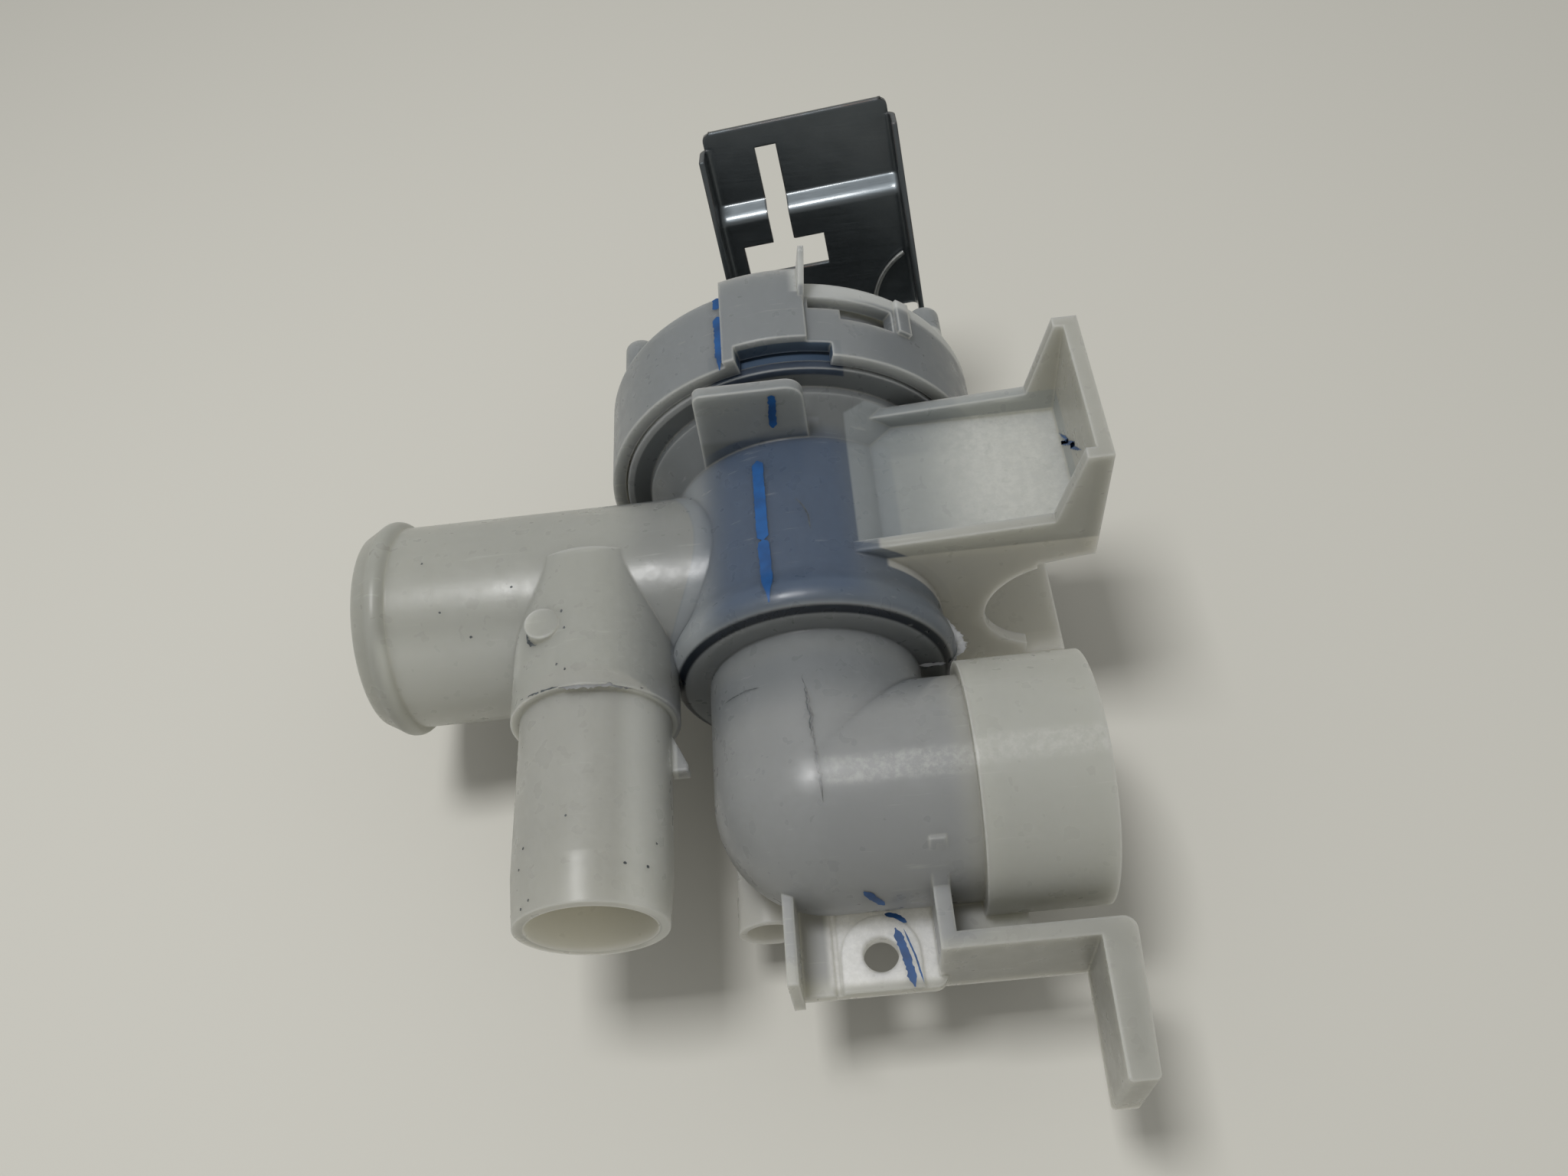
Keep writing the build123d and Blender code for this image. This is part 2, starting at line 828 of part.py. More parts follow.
with BuildPart() as pull_plate:
    with BuildSketch(Plane(origin=hinge + pin_way * plate_left, x_dir=plate_way, z_dir=pin_way)):
        with BuildLine():
            Polyline(*web_front, *web_back, close=True)
        make_face()
        fillet(vertices().filter_by(at_joggle), joggle_radius)
    extrude(amount=plate_right - plate_left)
    for ear_u in (plate_left, plate_right - sheet):
        with BuildSketch(Plane(origin=hinge + pin_way * ear_u, x_dir=plate_way, z_dir=pin_way)):
            with BuildLine():
                Polyline(
                    (0, ear_radius),
                    (ear_top, ear_rise - web_depth),
                    (ear_top, -web_depth - joggle_step - sheet),
                    *web_back[1:3],
                    (plate_start, -web_depth - sheet),
                    (0, -ear_radius),
                    close=True,
                )
            make_face()
            fillet(vertices().filter_by(at_joggle), joggle_radius)
            Circle(ear_radius)
            Circle(pin_radius + pin_fit, mode=Mode.SUBTRACT)
        extrude(amount=sheet)
    with BuildSketch(Plane(origin=hinge - plate_out * plate_length, x_dir=pin_way, z_dir=plate_out)):
        with Locations((slot_center, (bar_bottom + slot_top) / 2)):
            Rectangle(slot_width, slot_top - bar_bottom)
        with Locations((slot_center, (bar_bottom + bar_top) / 2)):
            Rectangle(bar_width, bar_top - bar_bottom)
        fillet(vertices(), slot_corner)
    extrude(amount=2 * plate_length, mode=Mode.SUBTRACT)
pull_plate.part.label = "pull_plate"
export_step(pull_plate.part, "parts/pull_plate.step")

# Hinge pin with a head at the right ear, and the retaining ring at its free end
with BuildPart() as hinge_pin:
    pin_start = plate_left - loose - clip_thickness - pin_radius / 2
    with BuildSketch(Plane(origin=hinge + pin_way * pin_start, x_dir=plate_way, z_dir=pin_way)):
        Circle(pin_radius)
    extrude(amount=plate_right + loose + pin_head_thickness - pin_start)
    with BuildSketch(Plane(origin=hinge + pin_way * (plate_right + loose), x_dir=plate_way, z_dir=pin_way)):
        Circle(pin_head_radius)
    extrude(amount=pin_head_thickness)
hinge_pin.part.label = "hinge_pin"
export_step(hinge_pin.part, "parts/hinge_pin.step")

with BuildPart() as pin_clip:
    clip_start = plate_left - loose - clip_thickness
    with BuildSketch(Plane(origin=hinge + pin_way * clip_start, x_dir=plate_way, z_dir=pin_way)):
        Circle(clip_radius)
        Circle(pin_radius + pin_fit, mode=Mode.SUBTRACT)
        with Locations((clip_radius, 0)):
            Rectangle(2 * clip_radius, pin_radius, mode=Mode.SUBTRACT)
    extrude(amount=clip_thickness)
pin_clip.part.label = "pin_clip"
export_step(pin_clip.part, "parts/pin_clip.step")

# Torsion spring on the pin; its long leg bears on the plate's web
coil_start = tongue_width / 2 + loose + twist_wire / 2
coil_length = coil_end - coil_start
with BuildPart() as plate_spring:
    with BuildLine() as twist_path:
        twist_helix = Edge.make_helix(coil_length / twist_turns, coil_length, twist_coil_radius)
        coil_plane = Plane(origin=hinge + pin_way * coil_start, x_dir=plate_out, z_dir=pin_way)
        add(twist_helix.moved(coil_plane.location))
    with BuildSketch(Plane(origin=twist_path.line @ 0, z_dir=twist_path.line % 0)):
        Circle(twist_wire / 2)
    sweep()
    with BuildLine(Plane(origin=twist_path.line @ 1, x_dir=pin_way, z_dir=plate_out)) as leg_path:
        ThreePointArc((0, 0), (leg_bend, leg_knee), (leg_sweep, leg_rise))
    with BuildSketch(Plane(origin=leg_path.line @ 0, z_dir=leg_path.line % 0)):
        Circle(twist_wire / 2)
    sweep()
plate_spring.part.label = "plate_spring"
export_step(plate_spring.part, "parts/plate_spring.step")
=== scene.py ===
# %% [markdown]
# # A washing machine drain valve
# The valve is a natural polypropylene moulding with a rubber plug inside, a
# bayonet cap and a sprung steel pull plate. The solids come from the packed
# part; this lesson gives them their finishes, paints some light and shade onto
# them, and adds the traces that the mould, the workbench and a blue marker left
# on the real one.

# %% Load the frame
import bpy
import numpy as np
from mathutils import Matrix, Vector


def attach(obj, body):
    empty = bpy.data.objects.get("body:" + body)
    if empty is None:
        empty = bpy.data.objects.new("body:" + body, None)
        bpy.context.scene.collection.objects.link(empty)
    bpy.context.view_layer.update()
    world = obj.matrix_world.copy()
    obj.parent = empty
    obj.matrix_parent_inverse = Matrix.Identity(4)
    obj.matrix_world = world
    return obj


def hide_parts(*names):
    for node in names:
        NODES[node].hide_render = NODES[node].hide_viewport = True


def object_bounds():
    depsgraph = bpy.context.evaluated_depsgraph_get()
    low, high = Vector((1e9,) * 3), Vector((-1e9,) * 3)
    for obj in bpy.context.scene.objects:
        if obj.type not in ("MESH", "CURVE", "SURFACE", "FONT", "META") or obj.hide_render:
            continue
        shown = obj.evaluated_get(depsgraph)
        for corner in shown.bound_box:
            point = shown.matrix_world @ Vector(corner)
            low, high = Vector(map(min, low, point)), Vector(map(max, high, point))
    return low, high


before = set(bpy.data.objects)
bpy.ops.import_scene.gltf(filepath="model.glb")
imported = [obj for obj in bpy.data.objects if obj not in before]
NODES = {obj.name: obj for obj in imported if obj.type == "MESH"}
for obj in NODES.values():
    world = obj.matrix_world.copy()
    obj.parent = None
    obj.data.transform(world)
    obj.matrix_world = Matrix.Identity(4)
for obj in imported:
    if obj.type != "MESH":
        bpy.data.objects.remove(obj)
cad_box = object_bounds()
# Lengths are in millimetres, except where a setting of Blender's own takes metres
CX = 70.0  # x of the pull axis
print("nodes:", sorted(NODES))

# %% [markdown]
# ## Small tools
# Every colour below is written as an sRGB hex value, because that is how a
# colour is read off a picture. Blender works in linear light, so one function
# converts it. One more adds a shader node, sets its values and links its
# inputs. A surface that can be written as a grid of points in millimetres
# needs no modelling by hand: numpy numbers the corners of all its quads at
# once.

# %% Colour and mesh helpers
def linear(hex_colour):
    """sRGB hex to linear RGBA: each channel goes through the sRGB curve, alpha is 1."""
    value = np.array([int(hex_colour[i:i + 2], 16) for i in (1, 3, 5)]) / 255.0
    curve = np.where(value <= 0.04045, value / 12.92, ((value + 0.055) / 1.055) ** 2.4)
    return (*curve.tolist(), 1.0)


def quad_cells(rows, columns, first=0):
    """Corner indices of a grid's quads, (rows - 1, columns - 1, 4), with points numbered row by row from first."""
    index = np.arange(rows * columns).reshape(rows, columns) + first
    return np.stack([index[:-1, :-1], index[:-1, 1:], index[1:, 1:], index[1:, :-1]], axis=-1)


def add_mesh(name, points, faces, material, smooth=True):
    """Object at the origin, with one material, from points in millimetres and an array of corner indices."""
    mesh = bpy.data.meshes.new(name)
    mesh.from_pydata(points.reshape(-1, 3) / 1000.0, [], faces.tolist())
    mesh.polygons.foreach_set("use_smooth", np.full(len(mesh.polygons), smooth))
    mesh.materials.append(material)
    piece = bpy.data.objects.new(name, mesh)
    bpy.context.scene.collection.objects.link(piece)
    return piece


def grid_piece(name, points, material, body):
    """Mesh of quads over a grid of points (rows, columns, xyz) in millimetres, smooth shaded."""
    piece = add_mesh(name, points, quad_cells(*points.shape[:2]).reshape(-1, 4), material)
    if body:
        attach(piece, body)
    return piece


print("mid grey is", [round(v, 3) for v in linear("#808080")[:3]])

# %% Shader helpers
def node(tree, kind, inputs=None, **settings):
    """Adds a shader node; a socket given as an input is linked, any other value is set."""
    made = tree.nodes.new(kind)
    for key, value in settings.items():
        setattr(made, key, value)
    for key, value in (inputs or {}).items():
        if isinstance(value, bpy.types.NodeSocket):
            tree.links.new(value, made.inputs[key])
        else:
            made.inputs[key].default_value = value
    return made


def new_finish(name):
    """New finish: the material, its node tree and its principled shader."""
    material = bpy.data.materials.new(name)
    material.use_nodes = True
    return material, material.node_tree, material.node_tree.nodes["Principled BSDF"]


def in_metres(tree):
    """Place on the object, in metres."""
    return node(tree, "ShaderNodeTexCoord").outputs["Object"]


def in_mm(tree):
    """Place on the object, in millimetres."""
    scaled = {0: in_metres(tree), "Scale": 1000.0}
    return node(tree, "ShaderNodeVectorMath", scaled, operation="SCALE").outputs[0]


def noise(tree, vector, scale, detail, **more):
    """Noise texture's value; scale is one over the size of its largest grain."""
    inputs = {"Vector": vector, "Scale": scale, "Detail": detail, **more}
    return node(tree, "ShaderNodeTexNoise", inputs).outputs[0]


def ranged(tree, value, low, high, start=0.0, end=1.0):
    """Value carried from low..high to start..end, and held at the ends."""
    return node(tree, "ShaderNodeMapRange", {0: value, 1: low, 2: high, 3: start, 4: end}).outputs[0]


def mix(tree, mask, first, second):
    """Colour going from first to second as the mask goes from 0 to 1."""
    return node(tree, "ShaderNodeMix", {0: mask, 6: first, 7: second}, data_type="RGBA").outputs[2]


def arithmetic(tree, operation, first, second):
    """One number from two."""
    return node(tree, "ShaderNodeMath", {0: first, 1: second}, operation=operation).outputs[0]


def edge_turn(tree, radius_mm):
    """Bevelled normal, and its dot product with the true one: 1 on open faces, less near edges."""
    bevel = node(tree, "ShaderNodeBevel", {"Radius": radius_mm / 1000.0}, samples=6).outputs[0]
    true = node(tree, "ShaderNodeNewGeometry").outputs["Normal"]
    return bevel, node(tree, "ShaderNodeVectorMath", {0: bevel, 1: true}, operation="DOT_PRODUCT").outputs["Value"]


print("shader helpers ready")

# %% [markdown]
# ## Camera
# The photograph looks down on the valve from its near side. The camera's turns,
# focal length and place were solved from the round ends of the pipes. It could
# be aimed at a target, but a solved view also rolls, so it is written down
# directly as a place and three turns.

# %% Camera at the photograph's view
yaw, pitch, roll = np.radians([-4.07, 55.64, -9.47])
CAMERA_PLACE = np.array([74.7, -123.06, 180.62]) / 1000.0
SENSOR_WIDTH, FOCAL_PIXELS, PHOTO_PIXELS = 36.0, 1600.0, 2048.0
forward = np.array([np.sin(yaw) * np.cos(pitch), np.cos(yaw) * np.cos(pitch), -np.sin(pitch)])
level = np.array([np.cos(yaw), -np.sin(yaw), 0.0])
above = np.cross(level, forward)
across = np.cos(roll) * level + np.sin(roll) * above
upward = -np.sin(roll) * level + np.cos(roll) * above
view = np.eye(4)
view[:3, :4] = np.stack([across, upward, -forward, CAMERA_PLACE], axis=1)

camera_data = bpy.data.cameras.new("camera")
camera_data.sensor_fit = "HORIZONTAL"
camera_data.sensor_width = SENSOR_WIDTH
camera_data.lens = SENSOR_WIDTH * FOCAL_PIXELS / PHOTO_PIXELS
camera_data.clip_start = 0.005
camera = bpy.data.objects.new("camera", camera_data)
camera.matrix_world = Matrix(view.tolist())
bpy.context.scene.collection.objects.link(camera)
bpy.context.scene.camera = camera
print("camera lens", round(camera_data.lens, 2), "mm")

# %% [markdown]
# ## Floor and light
# A pale table under a bright ceiling: one soft lamp overhead, a little to the
# left where the streaks on the pipes put it, and an even world, at a level
# where a colour renders about as it is written.

# %% Floor, lamp and world
def lit_colour(name, hex_colour, rough):
    """Plain finish for the floor: one colour on a principled shader."""
    material, _, shader = new_finish(name)
    shader.inputs["Base Color"].default_value = linear(hex_colour)
    shader.inputs["Roughness"].default_value = rough
    return material


LAMP_SIZE = 0.16
floor_z = cad_box[0][2] * 1000.0
floor_reach = np.linspace(-1500.0, 1500.0, 5)
floor_x, floor_y = np.meshgrid(floor_reach + CX, floor_reach, indexing="xy")
floor_grid = np.stack([floor_x, floor_y, np.full_like(floor_x, floor_z)], axis=-1)
floor = grid_piece("floor", floor_grid, lit_colour("pale_table", "#cfcdc5", 0.75), None)

lamp_data = bpy.data.lights.new("ceiling_lamp", "AREA")
lamp_data.shape = "RECTANGLE"
lamp_data.size = LAMP_SIZE
lamp_data.size_y = LAMP_SIZE
lamp_data.energy = 2.4
lamp = bpy.data.objects.new("ceiling_lamp", lamp_data)
lamp.location = (-0.06, -0.01, 0.64)
lamp.rotation_euler = (0.0, np.radians(-11.5), 0.0)
bpy.context.scene.collection.objects.link(lamp)

world = bpy.data.worlds.new("room")
world.use_nodes = True
background = world.node_tree.nodes["Background"]
background.inputs["Color"].default_value = linear("#f4f4f0")
background.inputs["Strength"].default_value = 0.44
bpy.context.scene.world = world
bpy.context.scene.view_settings.view_transform = "Standard"
print("floor at z", round(floor_z, 2), "mm")

# %% [markdown]
# ## Natural polypropylene
# Unpigmented polypropylene is milky: light soaks in and leaves a few
# millimetres away, so edges glow softly and what lies behind a wall tints it.
# Subsurface scattering gives the soaking. Light passing through the whole wall
# would be slow and noisy to render, so the navy plug behind the chamber wall
# is painted as a tint. The tint goes by the place on the part, mostly by the
# distance from an axis, so it stays put from every side. A bevel node rounds
# the moulded edges, and where its normal departs from the true one the edge is
# painted pale: partly rubbed wear, partly a painted highlight.

# %% Measures for the zones of tint
INLET_Y = -41.5
OVERFLOW_AXIS = (33.85, 5.7)  # x and z
ACROSS_Y, ACROSS_X = (1.0, 0.0, 1.0), (0.0, 1.0, 1.0)
AXES = (
    ("r", (CX, 0.0, 0.0), ACROSS_Y),
    ("o", (0.0, 0.0, 0.0), ACROSS_X),
    ("i", (0.0, INLET_Y, 0.0), ACROSS_X),
    ("v", (OVERFLOW_AXIS[0], 0.0, OVERFLOW_AXIS[1]), ACROSS_Y),
)


def band(tree, value, low, high, soft):
    """Mask that is 1 while value lies between low and high, with smooth shoulders soft wide."""
    shape = {"interpolation_type": "SMOOTHSTEP"}
    rise = node(tree, "ShaderNodeMapRange", {0: value, 1: low - soft, 2: low}, **shape).outputs[0]
    fall = node(tree, "ShaderNodeMapRange", {0: value, 1: high + soft, 2: high}, **shape).outputs[0]
    return arithmetic(tree, "MULTIPLY", rise, fall)


def measures(tree, mm):
    """Sockets for x, y, z and for the distance from each of the four axes, in millimetres."""
    spot = node(tree, "ShaderNodeSeparateXYZ", {0: mm})
    found = {"x": spot.outputs["X"], "y": spot.outputs["Y"], "z": spot.outputs["Z"]}
    for key, centre, keep in AXES:
        away = node(tree, "ShaderNodeVectorMath", {0: mm, 1: centre}, operation="SUBTRACT").outputs[0]
        away = node(tree, "ShaderNodeVectorMath", {0: away, 1: keep}, operation="MULTIPLY").outputs[0]
        found[key] = node(tree, "ShaderNodeVectorMath", {0: away}, operation="LENGTH").outputs["Value"]
    return found


print("zones can be measured by", "x y z", *[key for key, *_ in AXES])

# %% Natural polypropylene finish
BODY_MILK = ("#92928d", "#a1a19b")


def milky_polypropylene(name, milk, zones):
    """Moulded natural polypropylene, satin, with zones of tint and of painted light and shade.

    A zone is (colour, depth, grain, measure, low, high, soft, ...): its mask is the product of one band for
    each measure, broken up by the frost noise as far as grain says, and its colour is mixed in by depth times
    mask. Measures are x, y, z, and the distances from the pull axis (r), the outlet's axis (o), the inlet's
    axis (i) and the overflow's axis (v), in millimetres."""
    material, tree, shader = new_finish(name)
    mm = in_mm(tree)
    measure = measures(tree, mm)

    # Cloudiness of the melt about 30 mm across, haze of 3 mm and frost of 1.2 mm
    cloud = noise(tree, mm, 1 / 30.0, 3.0)
    haze = noise(tree, mm, 1 / 3.0, 2.0)
    frost = noise(tree, mm, 1 / 1.2, 6.0, Roughness=0.7)
    colour = mix(tree, cloud, linear(milk[0]), linear(milk[1]))
    for tint, depth, grain, *bands in zones:
        mask = ranged(tree, frost, 0.42, 0.62, depth * (1.0 - grain), depth)
        for key, low, high, soft in zip(bands[0::4], bands[1::4], bands[2::4], bands[3::4]):
            mask = arithmetic(tree, "MULTIPLY", mask, band(tree, measure[key], low, high, soft))
        colour = mix(tree, mask, colour, linear(tint))

    # Edges painted pale, away from the chamber wall: partly rubbed wear, partly a painted highlight
    bevel, turn = edge_turn(tree, 0.7)
    edge = ranged(tree, turn, 0.995, 0.86, 0.0, 0.5)
    round_it, along_it = band(tree, measure["r"], 0.0, 25.6, 0.6), band(tree, measure["y"], -40.0, 12.5, 1.0)
    off_wall = arithmetic(tree, "SUBTRACT", 1.0, arithmetic(tree, "MULTIPLY", round_it, along_it))
    edge = arithmetic(tree, "MULTIPLY", edge, off_wall)
    colour = mix(tree, edge, colour, linear("#b9b9b3"))

    # Long thin scuffs, and dirt specks about 0.5 mm across and 20 mm apart
    stretch = {"Vector": mm, "Rotation": (0.2, 0.1, 0.5), "Scale": (0.09, 1.3, 0.5)}
    scratch = noise(tree, node(tree, "ShaderNodeMapping", stretch).outputs[0], 1.0, 4.0)
    colour = mix(tree, ranged(tree, scratch, 0.66, 0.78, 0.0, 0.3), colour, linear("#bdbdb8"))
    speck = node(tree, "ShaderNodeTexVoronoi", {"Vector": mm, "Scale": 1 / 20.0}).outputs["Distance"]
    colour = mix(tree, ranged(tree, speck, 0.015, 0.009, 0.0, 0.14), colour, linear("#4c4a44"))

    relief = {"Strength": 0.08, "Distance": 0.0004, "Height": haze, "Normal": bevel}
    tree.links.new(colour, shader.inputs["Base Color"])
    tree.links.new(ranged(tree, haze, 0.3, 0.7, 0.25, 0.4), shader.inputs["Roughness"])
    tree.links.new(node(tree, "ShaderNodeBump", relief).outputs[0], shader.inputs["Normal"])
    shader.inputs["IOR"].default_value = 1.49
    shader.inputs["Specular IOR Level"].default_value = 0.4
    shader.inputs["Subsurface Weight"].default_value = 1.0
    shader.inputs["Subsurface Radius"].default_value = (1.0, 0.97, 0.88)
    shader.inputs["Subsurface Scale"].default_value = 0.011
    return material


inner_pp = milky_polypropylene("natural_polypropylene_inner", BODY_MILK, ())
flash_pp = milky_polypropylene("polypropylene_flash", ("#c2c3be", "#d6d6d0"), ())
print("plain polypropylene:", inner_pp.name, flash_pp.name)

# %% [markdown]
# ## Where the plastic changes tone
# One moulding shows many tones, because its walls differ in thickness and in
# what stands behind them, and some rows paint light and shade onto it:
# painted highlights, painted shade, and faces painted light as if lit through
# the wall. Painting them by hand would need an image; a table of zones in the
# part's own millimetres stays sharp at any size and can be read and changed.
# A later row covers an earlier one.

# %% Zones of the body and the cap
BODY_ZONES = (
    # Outlet pipe, its nose, and painted shade at its root under the plug's lip
    ("#9c9d97", 0.8, 0.0, "x", -8.0, 50.0, 4.0, "o", 16.4, 30.0, 0.6),
    ("#8b8c87", 0.7, 0.0, "x", -8.0, -0.6, 0.6, "o", 16.4, 30.0, 0.6),
    ("#7d7f7e", 0.75, 0.0, "x", 46.0, 60.0, 9.0, "o", 16.4, 30.0, 0.6, "r", 23.2, 40.0, 0.5),
    # Insides of the overflow and the outlet, painted light as if lit through their walls
    ("#c4c2b8", 0.9, 0.0, "v", 0.0, 10.0, 0.2, "y", -70.0, -10.0, 2.0),
    ("#a9a695", 0.7, 0.0, "o", 0.0, 16.2, 0.6, "x", -8.0, 52.0, 2.0),
    # Elbow, inlet socket, and the post below the elbow painted lighter as if lit through its wall
    ("#86888a", 0.8, 0.0, "x", 48.0, 88.0, 5.0, "y", -66.0, -26.0, 3.0, "z", -30.0, 30.0, 1.0),
    ("#a6a7a1", 0.8, 0.0, "x", 93.5, 120.0, 1.0, "i", 16.0, 23.0, 1.0, "y", -66.0, -20.0, 1.0),
    ("#b4b2aa", 0.7, 0.0, "x", 52.0, 66.0, 0.6, "y", -57.0, -33.0, 0.6, "z", -26.0, -12.0, 1.0),
    # Flange under the cap, chamber with the plug behind its wall, paler left side, navy middle, tab
    ("#5f6365", 0.85, 0.0, "y", 13.0, 25.0, 2.0, "r", 0.0, 36.0, 1.0),
    ("#5d646c", 1.0, 0.0, "r", 0.0, 24.8, 0.5, "y", -18.5, 13.5, 1.5),
    ("#8b8f91", 0.85, 0.0, "r", 0.0, 24.8, 0.5, "y", -20.0, 14.0, 1.5, "x", 40.0, 51.0, 7.0),
    ("#4a576a", 0.9, 0.0, "r", 0.0, 24.8, 0.5, "y", -16.0, 13.5, 4.0, "x", 60.0, 76.0, 7.0, "z", 5.0, 30.0, 6.0),
    ("#7b7f81", 0.9, 0.0, "x", 54.0, 75.0, 0.6, "y", 14.5, 17.5, 0.5, "z", 24.5, 36.0, 1.5),
    # Arm: tray, pale end of its floor, and the near web painted light as if lit through its wall
    ("#8a8f90", 0.8, 0.0, "x", 79.8, 118.0, 0.5, "y", -6.8, 20.7, 0.3, "z", 17.0, 23.6, 0.3),
    ("#c3c4be", 0.9, 0.25, "x", 104.0, 116.0, 16.0, "y", -6.8, 18.5, 0.4, "z", 18.0, 19.0, 0.5),
    ("#bbb9b0", 0.85, 0.0, "x", 82.0, 118.0, 3.0, "y", -10.0, -5.0, 0.5, "z", -20.0, 18.0, 0.6),
    # Chamber floor round the neck, and the dark line of the plug's lip
    ("#6b6f72", 0.8, 0.0, "r", 0.0, 22.0, 0.5, "y", -27.0, -17.5, 9.0),
    ("#141a22", 1.0, 0.0, "r", 22.2, 23.0, 0.5, "y", -21.0, -19.2, 0.6),
    # Sides lit through the wall: overflow's right, outlet's low side, arm's lower plate
    ("#b9bab4", 0.8, 0.0, "v", 10.5, 13.0, 0.4, "x", 42.5, 47.0, 3.5, "y", -62.0, -20.0, 1.0),
    ("#b2b3ad", 0.8, 0.0, "o", 16.4, 30.0, 0.6, "y", -19.0, -14.0, 4.0, "x", -0.4, 22.0, 2.0),
    ("#c6c5bd", 0.8, 0.0, "x", 84.0, 118.0, 2.0, "y", -8.0, 21.0, 1.0, "z", -17.0, -15.0, 0.8),
    # Flange seen in the cap's notch, and the flange's left edge
    ("#2d3a4c", 0.9, 0.0, "x", 58.0, 80.0, 0.5, "y", 22.5, 26.0, 0.4, "r", 30.5, 34.0, 0.5, "z", 20.0, 40.0, 1.0),
    ("#a3a5a3", 0.9, 0.0, "x", 30.0, 56.0, 3.0, "y", 21.8, 25.0, 0.5, "r", 30.8, 33.0, 0.4),
    # Worn screw pad, and scuffs with a painted highlight streak along the top of the elbow
    ("#e8e7e2", 0.95, 0.2, "y", -68.0, -57.0, 1.5, "z", -9.5, -6.8, 1.5, "x", 69.0, 84.0, 1.8),
    ("#cfcfca", 0.28, 0.8, "y", -46.0, -43.5, 1.5, "z", 15.5, 24.0, 1.0, "x", 71.0, 116.0, 1.0),
)
CAP_ZONES = (
    # Painted highlight on the top of the rim right of the block, plug's flange behind the notch,
    # painted shade on the right side of the skirt, and painted light on the end of the skirt
    ("#adafad", 1.0, 0.0, "y", 37.0, 43.0, 0.6, "x", 74.0, 110.0, 2.0, "r", 29.0, 40.0, 3.0, "z", 14.0, 40.0, 10.0),
    ("#3c4c5e", 0.9, 0.0, "x", 58.0, 80.0, 0.5, "y", 22.5, 26.4, 0.3, "r", 0.0, 34.2, 0.4, "z", 20.0, 40.0, 1.0),
    ("#6a6e71", 0.8, 0.0, "x", 90.0, 120.0, 10.0, "y", 20.0, 37.0, 1.0),
    ("#8e908f", 0.8, 0.0, "y", 20.0, 23.2, 0.4),
)


def dress(finishes):
    """Gives each named node its one finish."""
    for name, finish in finishes.items():
        NODES[name].data.materials.clear()
        NODES[name].data.materials.append(finish)


body_pp = milky_polypropylene("natural_polypropylene_body", BODY_MILK, BODY_ZONES)
cap_pp = milky_polypropylene("natural_polypropylene_cap", ("#777b7d", "#828587"), CAP_ZONES)
dress({"valve_body": body_pp, "valve_cap": cap_pp, "guide_sleeve": inner_pp, "pull_rod": inner_pp})
print("natural polypropylene on body, cap, sleeve and rod,", len(BODY_ZONES) + len(CAP_ZONES), "zones")

# %% [markdown]
# ## Rubber and steel
# The plug is soft navy rubber with a dull skin. The pull plate is pressed
# from plated sheet steel, with sharp reflections broken by rolling lines, and
# brown where its sheared edges have begun to rust; its metal colour is kept
# dark as a painted reflection of a dark room. The pin and the springs are plain
# drawn steel. A coat over a rougher metal gives the plate both its broad sheen
# and its crisp streaks.

# %% Rubber and steel finishes
def dull_rubber(name, hex_colour):
    """Moulded rubber: a dark dielectric with a broad highlight and a fine pebbled skin of 0.5 mm."""
    material, tree, shader = new_finish(name)
    where = in_metres(tree)
    grain = noise(tree, where, 2000.0, 3.0)
    bloom = noise(tree, where, 80.0, 4.0)
    relief = node(tree, "ShaderNodeBump", {"Strength": 0.2, "Distance": 0.0002, "Height": grain}).outputs[0]
    tree.links.new(mix(tree, bloom, linear(hex_colour), linear("#3a4c60")), shader.inputs["Base Color"])
    tree.links.new(relief, shader.inputs["Normal"])
    shader.inputs["Roughness"].default_value = 0.55
    return material


def plated_steel(name, dark, bright, rust, rough, edge_mm):
    """Steel: a metal whose roughness follows rolling lines 0.4 mm apart, rusting at its sheared edges."""
    material, tree, shader = new_finish(name)
    mm = in_mm(tree)
    lines = node(tree, "ShaderNodeMapping", {"Vector": mm, "Scale": (0.05, 1.2, 1.2)}).outputs[0]
    rolled = noise(tree, lines, 2.0, 4.0)
    blotch = noise(tree, mm, 1 / 7.0, 5.0)
    bevel, turn = edge_turn(tree, edge_mm)
    rusty = arithmetic(tree, "MULTIPLY", ranged(tree, turn, 0.99, 0.8), ranged(tree, blotch, 0.42, 0.62))
    colour = mix(tree, rusty, mix(tree, blotch, linear(dark), linear(bright)), linear(rust))
    relief = {"Strength": 0.08, "Distance": 0.0002, "Height": rolled, "Normal": bevel}
    tree.links.new(colour, shader.inputs["Base Color"])
    tree.links.new(ranged(tree, rolled, 0.3, 0.7, rough - 0.06, rough + 0.08), shader.inputs["Roughness"])
    tree.links.new(node(tree, "ShaderNodeBump", relief).outputs[0], shader.inputs["Normal"])
    shader.inputs["Metallic"].default_value = 1.0
    shader.inputs["Coat Weight"].default_value = 0.7
    shader.inputs["Coat Roughness"].default_value = 0.12
    return material


navy_rubber = dull_rubber("navy_rubber", "#22344a")
# The plate's dark metal colours are a painted reflection of a dark room
sheet_steel = plated_steel("plated_sheet_steel", "#50565a", "#686e72", "#4a3528", 0.42, 0.6)
drawn_steel = plated_steel("drawn_steel_wire", "#b2b4b3", "#c6c7c5", "#86766a", 0.34, 0.15)
dress({"rubber_plug": navy_rubber, "pull_plate": sheet_steel})
dress(dict.fromkeys(("hinge_pin", "pin_clip", "outer_spring", "inner_spring", "plate_spring"), drawn_steel))
print("rubber and steel finishes assigned")

# %% [markdown]
# ## The pressed plate
# The pull plate is folded from 1 mm sheet. Its flat web, its two flanges and
# the bends between them are one strip whose cross-section is worked out for
# every height, so that the bends are round and the joggle has the two bends
# that catch the light as two bright lines. The T-slot is cut by leaving out
# the cells inside it, and each flange ends in an eye for the hinge pin.

